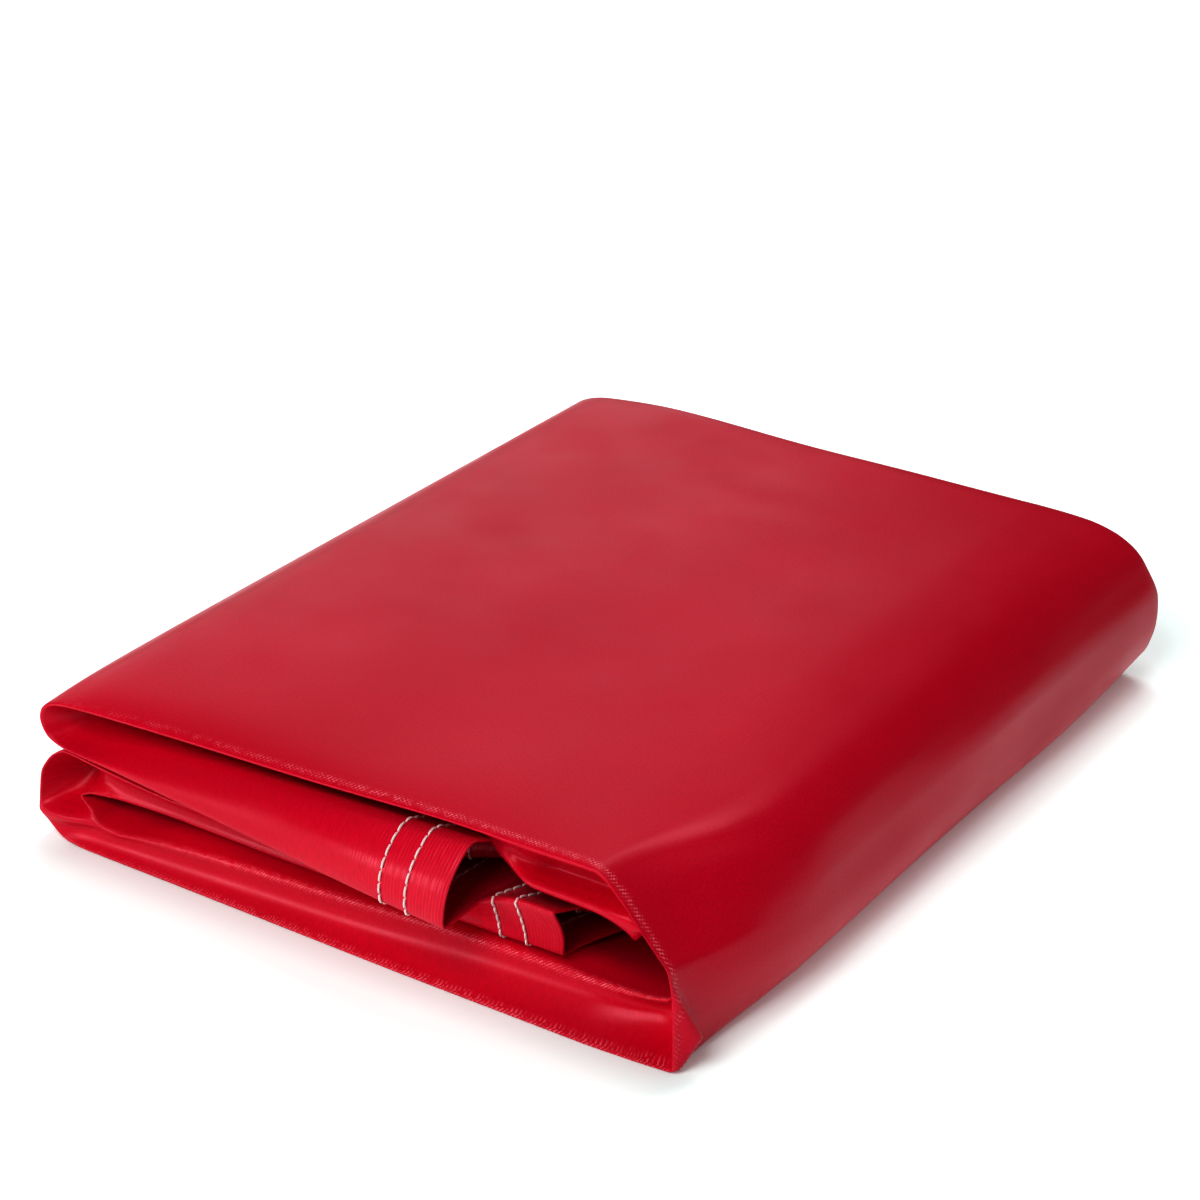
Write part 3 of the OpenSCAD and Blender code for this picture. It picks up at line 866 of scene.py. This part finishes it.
def floor_material():
    material, n, shader, coord = new_material("pale_floor")
    place = coord.outputs["Object"]
    haze = n.noise(place, 1.5, 2.0)
    # The floor's pale cyan tint offsets the red light bounced onto it from the cloth, so its shade reads grey
    n.link(n.mix(haze, (0.75, 0.91, 0.89), (0.77, 0.93, 0.91)), shader.inputs["Base Color"])
    shader.inputs["Roughness"].default_value = 0.9
    shader.inputs["Specular IOR Level"].default_value = 0.1
    shader.inputs["Emission Color"].default_value = (1.0, 0.94, 0.94, 1.0)
    distance = n.add("ShaderNodeVectorMath")
    distance.operation = "LENGTH"
    n.link(place, distance.inputs[0])
    glow = n.remap(distance.outputs["Value"], GLOW_FROM, GLOW_TO, GLOW_NEAR, GLOW_FAR)
    # Painted shadow: the glow is dimmed within SHADE_REACH of the blanket's footprint, down to SHADE_LEFT of
    # itself
    beside = []
    for value, half in zip(n.parts(place), (SHADE_HALF_X, SHADE_HALF_Y)):
        off = n.math("SUBTRACT", n.math("ABSOLUTE", value), half)
        beside.append(n.math("POWER", n.math("MAXIMUM", off, 0.0), 2.0))
    off_edge = n.math("SQRT", n.math("ADD", *beside))
    shade = n.remap(off_edge, 0.0, SHADE_REACH, SHADE_LEFT, 1.0)
    n.link(n.times(glow, shade), shader.inputs["Emission Strength"])
    return material


cloth = cloth_material()
thread = thread_material()
CLOTHS = (lower_cloth, upper_cloth)
THREADS = (lower_needle, lower_bobbin, upper_needle, upper_bobbin, lower_sides, upper_sides)
for piece in CLOTHS:
    piece.data.materials.append(cloth)
for piece in THREADS:
    piece.data.materials.append(thread)

# ---- Bodies ----
# The cloth pieces and side stitches keep their place, and each flap's stitches go with its half
for piece in (lower_cloth, lower_sides):
    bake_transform(piece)
for piece in (upper_cloth, upper_sides):
    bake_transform(piece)
for piece in (lower_needle, lower_bobbin):
    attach(piece, "lower_half")
for piece in (upper_needle, upper_bobbin):
    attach(piece, "upper_half")

ROW_NODES = {
    "lower_flap_needle_threads": lower_needle,
    "lower_flap_bobbin_threads": lower_bobbin,
    "upper_flap_needle_threads": upper_needle,
    "upper_flap_bobbin_threads": upper_bobbin,
}
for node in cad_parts:
    if node in ROW_NODES:
        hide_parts(node)
    elif node.endswith("_side_threads"):
        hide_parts(node)
    else:
        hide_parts(node)

# ---- Floor, camera and light ----
# Lengths here are in metres, but for the camera's place.
FLOOR_HALF = 60.0
FLOOR_CELLS = 24
FLOOR_Z = -0.0002
LENS = 89.55
CAMERA_FROM_ORIGIN = Vector((473.6, -750.8, 619.6))
AZIMUTH = math.radians(33.9)
ELEVATION = math.radians(25.87)
GAMMA = 0.68
FILL, WALL = 0.1, 1.4

# Name, place, target, size, power in watts
LIGHTS = (
    ("side", (1.2, 0.4, 1.9), (0, 0, 0), (1.0, 1.0), 3),
    ("backdrop", (-2.2, 2.0, 1.2), (0, 0, 0.05), (2.4, 1.5), 14),
    ("top", (-0.25, 0.9, 1.9), (0, 0, 0.03), (1.0, 1.0), 17.5),
    ("key", (0.15, -1.45, 1.55), (0, 0, 0.03), (1.0, 1.0), 27),
    ("window", (-1.2, -2.0, 0.46), (-0.05, -0.19, 0.04), (0.6, 0.45), 14),
)


def stage_floor():
    steps = np.linspace(-FLOOR_HALF, FLOOR_HALF, FLOOR_CELLS + 1)
    points = [(x, y, FLOOR_Z) for x in steps for y in steps]
    mesh = bpy.data.meshes.new("floor")
    mesh.from_pydata(points, [], grid_faces(FLOOR_CELLS + 1, FLOOR_CELLS + 1))
    floor = bpy.data.objects.new("floor", mesh)
    bpy.context.scene.collection.objects.link(floor)
    mesh.materials.append(floor_material())


def camera():
    data = bpy.data.cameras.new("camera")
    data.sensor_width = 36.0
    data.lens = LENS
    data.clip_start = 0.05
    data.clip_end = 20.0
    level = math.cos(ELEVATION)
    back = Vector((math.sin(AZIMUTH) * level, -math.cos(AZIMUTH) * level, math.sin(ELEVATION)))
    eye = bpy.data.objects.new("camera", data)
    eye.location = (Vector(ORIGIN) + CAMERA_FROM_ORIGIN) * MM
    eye.rotation_mode = "QUATERNION"
    eye.rotation_quaternion = (-back).to_track_quat("-Z", "Y")
    bpy.context.scene.collection.objects.link(eye)
    bpy.context.scene.camera = eye


def area_light(name, place, target, size, power):
    data = bpy.data.lights.new(name, "AREA")
    data.shape = "RECTANGLE"
    data.size, data.size_y = size
    data.energy = power
    lamp = bpy.data.objects.new(name, data)
    lamp.location = place
    lamp.rotation_mode = "QUATERNION"
    lamp.rotation_quaternion = (Vector(target) - Vector(place)).to_track_quat("-Z", "Y")
    bpy.context.scene.collection.objects.link(lamp)


def world_light():
    world = bpy.data.worlds.new("studio")
    bpy.context.scene.world = world
    world.use_nodes = True
    n = Nodes(world.node_tree)
    out = n.add("ShaderNodeOutputWorld")
    background = n.add("ShaderNodeBackground")
    background.inputs["Color"].default_value = (0.97, 0.99, 1.0, 1.0)
    # The wall behind is white, and the light that fills the shadows is weak
    seen = n.add("ShaderNodeLightPath").outputs["Is Camera Ray"]
    n.link(n.remap(seen, 0.0, 1.0, FILL, WALL), background.inputs["Strength"])
    n.link(background.outputs[0], out.inputs[0])


stage_floor()
camera()
world_light()
for light in LIGHTS:
    area_light(*light)
bpy.context.scene.view_settings.gamma = GAMMA
bpy.context.scene.view_settings.view_transform = "Standard"
